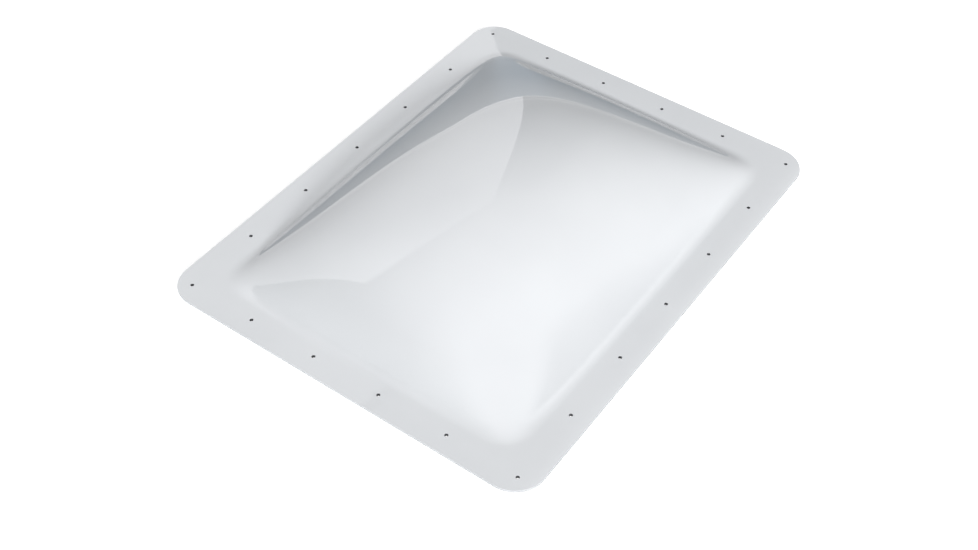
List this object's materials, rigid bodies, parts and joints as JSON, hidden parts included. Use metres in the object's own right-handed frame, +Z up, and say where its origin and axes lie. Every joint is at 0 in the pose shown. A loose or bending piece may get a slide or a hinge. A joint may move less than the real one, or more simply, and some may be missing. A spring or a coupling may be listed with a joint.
{
  "type": "roof skylight dome",
  "caption": "One-piece blown plastic skylight dome for a caravan roof opening, with a flat flange drilled for screws and seal strips under it.",
  "frame": {"origin": "middle of the sheet in plan, on the roof skin, which is the underside of the seal strips", "axes": "+X along the long side, +Y along the short side, +Z up, away from the roof"},
  "size_m": [0.9, 0.7, 0.106],
  "materials": {
    "dome_plastic": "high gloss, opal white",
    "seal_foam": "matt closed-cell foam"
  },
  "bodies": {
    "root": {"outer_dome": "dome_plastic", "seal_front": "seal_foam", "seal_rear": "seal_foam", "seal_left": "seal_foam", "seal_right": "seal_foam"}
  },
  "joints": []
}
